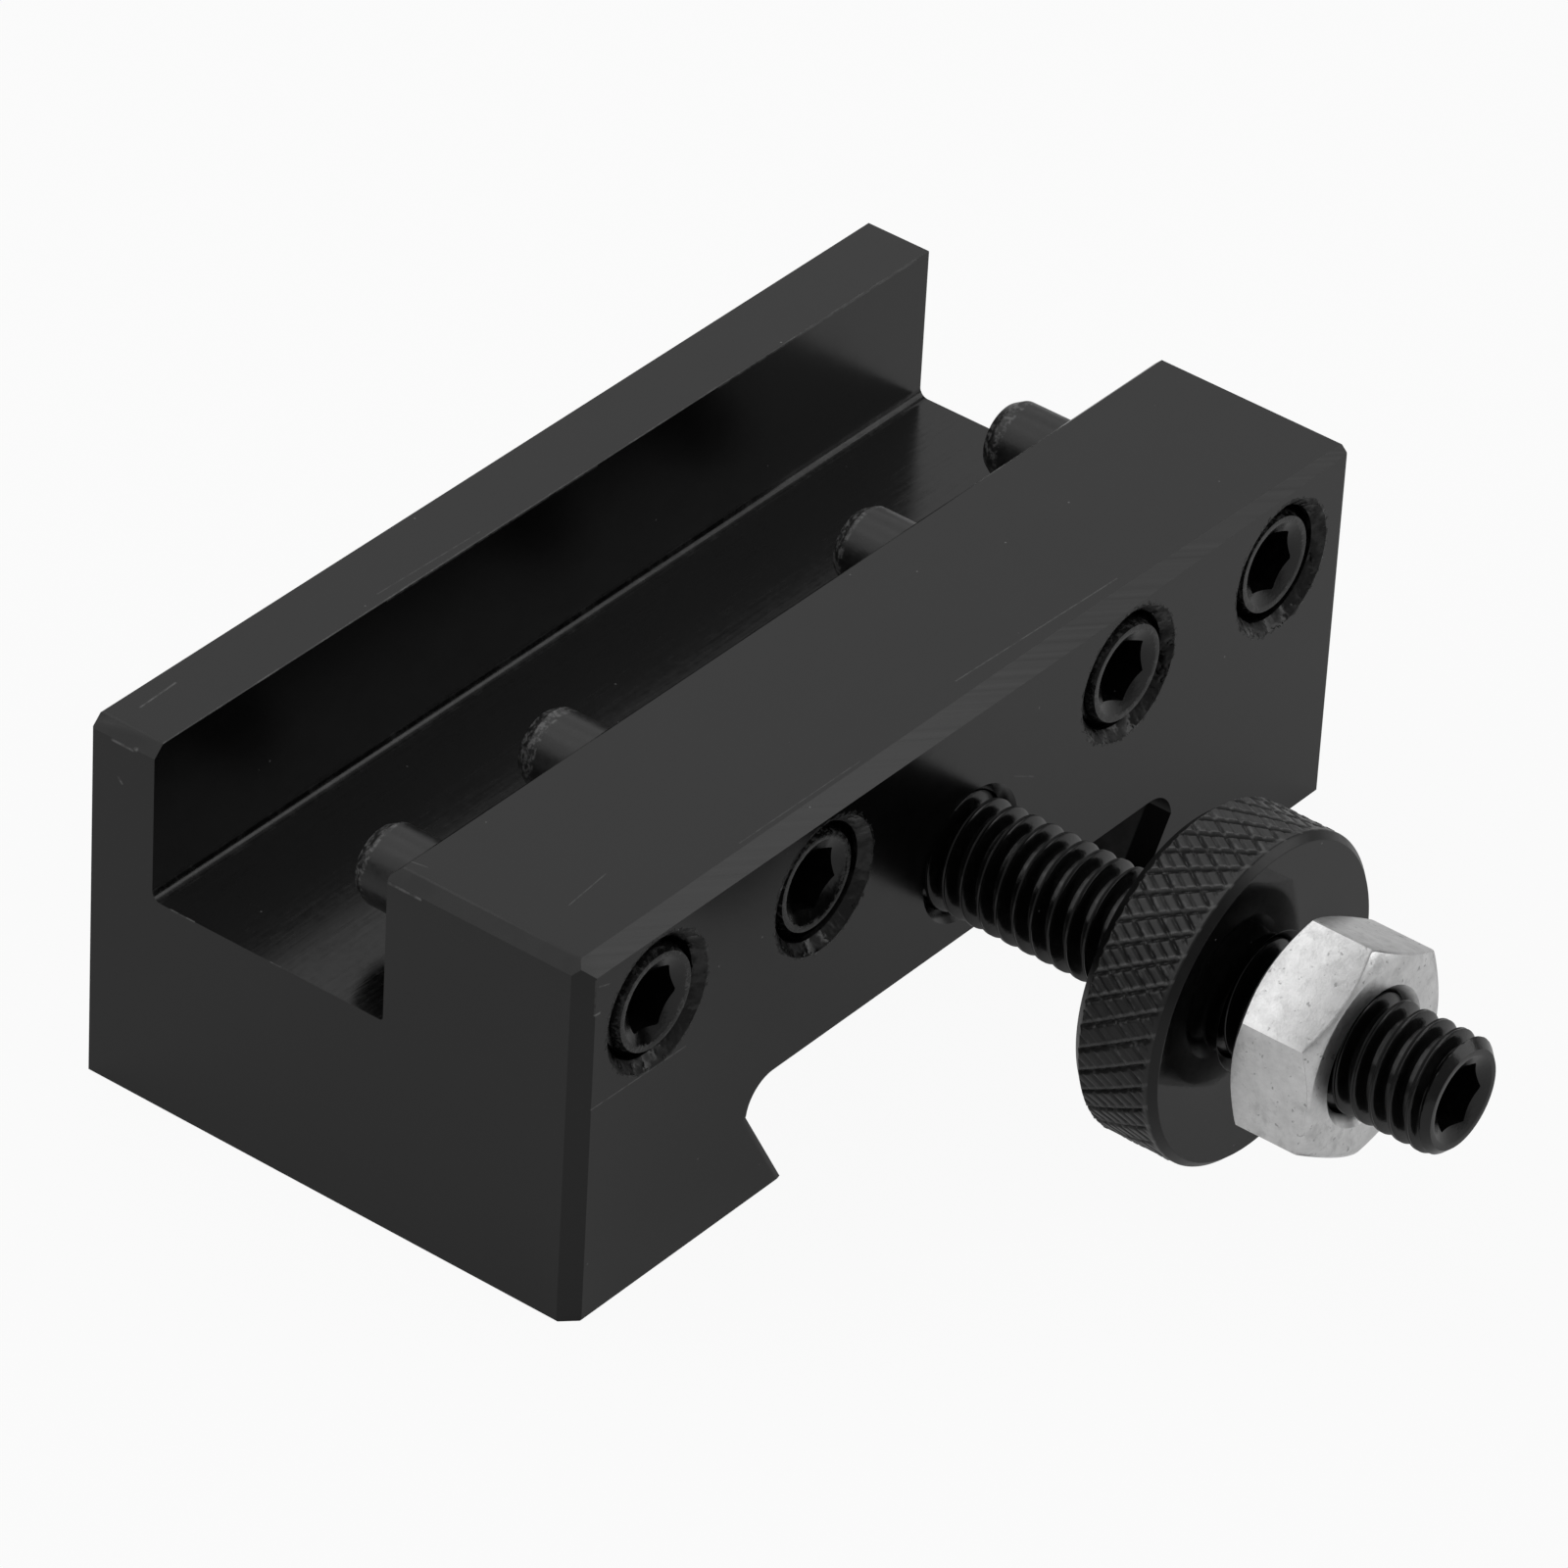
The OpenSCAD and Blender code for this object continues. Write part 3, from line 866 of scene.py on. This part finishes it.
WHEEL_SPECULAR = 0.37
FACE_NORMAL_Y = (0.95, 0.995)
KNURL_NORMAL_Y = (0.64, 0.55)
LIP_WEAR_AND_GLINT_HALF_WIDTH = (0.12, 0.04)


def knurl_lips(s, spots):
    """Lips beside the firm grooves, and beside some of the light ones: rubbed, and painted
    pale as their highlights.
    """
    low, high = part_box("knurled_wheel")
    radius = (high.x - low.x) / 2 / MM
    middle = ((low.z + high.z) / 2 - THREAD_SAG) / MM
    per_radian = KNURL_COUNT / (2 * math.pi)
    x, y, z = s.axes()
    angle = s.math("ARCTAN2", s.math("SUBTRACT", z, middle), x)
    turns = s.math("MULTIPLY", angle, per_radian)
    lean = s.math("MULTIPLY", s.math("SUBTRACT", high.y / MM, y),
                  math.tan(KNURL_ANGLE) / radius * per_radian)
    firm = s.math("ADD", turns, lean)
    light = s.math("SUBTRACT", s.math("ADD", turns, CROSSING_SHIFTS[0]), lean)
    lips = []
    for position, strength in ((firm, s.band(spots, 0.3, 0.55, 0.35, 1.0)),
                               (light, s.band(spots, 0.48, 0.62))):
        # A whole number is added because the part of a turn has to be positive
        part = s.math("FRACT", s.math("ADD", position, 100 + LIP_SHIFT))
        away = s.product(s.math("ABSOLUTE", s.math("SUBTRACT", part, 0.5)),
                         groove_spacing(radius))
        lips.append(s.product(s.band(away, *LIP_WEAR_AND_GLINT_HALF_WIDTH), strength))
    return s.largest(*lips)


def black_wheel_material():
    s = Shader("black_oxide_wheel")
    spots = s.noise(1.8, 5.0, 0.6)
    flat = s.math("ABSOLUTE", s.output("SeparateXYZ", {0: s.normal()}, "Y"))
    face = s.band(flat, *FACE_NORMAL_Y)
    matt = s.band(flat, *KNURL_NORMAL_Y)
    base = s.blend(s.band(spots, 0.5, 0.8), grey(0.003), grey(0.007))
    base = s.blend(matt, base, grey(0.02))
    # The lips are paler: rubbed wear, and painted highlights
    base = s.blend(s.product(matt, knurl_lips(s, spots)), base, grey(0.085))
    base = s.dust(1.4, 0.12, grey(0.15), base)
    rough = s.math("ADD", s.product(face, -0.25), s.band(spots, 0.3, 0.7, 0.28, 0.36))
    s.set(Base_Color=base, Roughness=rough, Specular_IOR_Level=WHEEL_SPECULAR)
    s.bump(s.noise(4.0, 4.0), 0.08, 0.00003)
    return s.material


# Radii of the painted shade round the nut's bore, in millimetres from the stud's axis
NUT_BORE_PAINTED_SHADE = (3.4, 3.1)
STUD_AXIS = (0.0, 0.0, 11.15)


def zinc_material():
    s = Shader("zinc_plate")
    x, _, z = s.axes()
    mottle = s.noise(1.5, 6.0, 0.65)
    fine = s.noise(9.0, 3.0, 0.6)
    stains = s.band(s.noise(0.9, 6.0, 0.75), 0.52, 0.66)
    specks = s.band(s.noise(3.2, 2.0, 0.5), 0.66, 0.74)
    away = s.distance(s.output("CombineXYZ", {0: x, 2: z}), STUD_AXIS)
    turned = s.noise(1.0, 2.0, 0.5, s.output("CombineXYZ", {0: s.product(away, 9.0)}))

    base = s.blend(s.band(mottle, 0.3, 0.7), grey(0.72), grey(0.9))
    base = s.blend(s.product(stains, 0.5), base, grey(0.5))
    base = s.blend(s.product(specks, 0.6), base, grey(0.2))
    # Painted shade: the zinc is darkened in a ring round the bore, where the stud's shadow and
    # dark reflection fall
    base = s.blend(s.band(away, *NUT_BORE_PAINTED_SHADE, 0.0, 0.92), base, grey(0.02))
    s.set(Base_Color=base, Roughness=s.band(fine, 0.3, 0.7, 0.3, 0.42), Metallic=1.0)
    s.bump(s.weighted((turned, 0.8), (fine, 1.0), (mottle, 1.0)), 0.22, 0.00003)
    return s.material


body_material = black_body_material()
screw_material = black_screw_material()
rounded_body(body_material)
for number in range(len(SCREW_TURNS)):
    clamp_screw(number, screw_material)
height_stud(screw_material)
knurled_wheel(black_wheel_material())
lock_nut(zinc_material())


# Floor, world and lamps
FLOOR_HALF = 2.0
FLOOR_GAP = 0.02 * MM
FLOOR_COLOUR = grey(0.6)
FLOOR_IN_VIEW = 0.94
FLOOR_IN_GLOSS = 0.32
WORLD_LEVEL = 0.25
# Name, place, size and power. All of them aim at the origin.
LAMPS = [
    ("top_lamp", (0.03, 0.4, 0.71), 0.6, 1.1),
    ("back_lamp", (0.53, 0.4, 0.48), 0.6, 0.55),
    ("left_lamp", (-0.46, 0.4, 0.58), 0.6, 1.0),
    ("right_lamp", (0.53, -0.48, 0.4), 0.5, 1.1),
]


def make_floor():
    """Pale floor that the camera sees as nearly white, and gloss as a middle grey."""
    mesh = bpy.data.meshes.new("floor")
    corners = [(-1, -1), (1, -1), (1, 1), (-1, 1)]
    mesh.from_pydata([(x * FLOOR_HALF, y * FLOOR_HALF, -FLOOR_GAP) for x, y in corners],
                     [], [range(4)])
    floor = added("floor", mesh)
    material = bpy.data.materials.new("pale_floor")
    material.use_nodes = True
    nodes = Nodes(material.node_tree)
    rays = nodes.node("LightPath").outputs
    reflected = nodes.largest(rays["Is Glossy Ray"], rays["Is Transmission Ray"])
    seen = nodes.math("MULTIPLY_ADD", rays["Is Camera Ray"], FLOOR_IN_VIEW,
                      nodes.product(reflected, FLOOR_IN_GLOSS))
    plain = nodes.output("BsdfDiffuse", {"Color": FLOOR_COLOUR})
    glow = nodes.output("Emission", {"Strength": 1.0})
    mix = nodes.output("MixShader", {0: seen, 1: plain, 2: glow})
    nodes.node("OutputMaterial", {"Surface": mix})
    mesh.materials.append(material)


def make_world():
    world = bpy.data.worlds.new("studio")
    bpy.context.scene.world = world
    world.use_nodes = True
    nodes = Nodes(world.node_tree)
    light = nodes.output("Background", {"Color": grey(1.0), "Strength": WORLD_LEVEL})
    nodes.node("OutputWorld", {"Surface": light})


def soft_lamp(name, place, size, power):
    data = bpy.data.lights.new(name, "AREA")
    data.size = size
    data.energy = power
    lamp = added(name, data)
    lamp.location = place
    lamp.rotation_mode = "QUATERNION"
    lamp.rotation_quaternion = (-Vector(place)).to_track_quat("-Z", "Y")


make_floor()
make_world()
for lamp_values in LAMPS:
    soft_lamp(*lamp_values)

bpy.context.scene.view_settings.view_transform = "Standard"
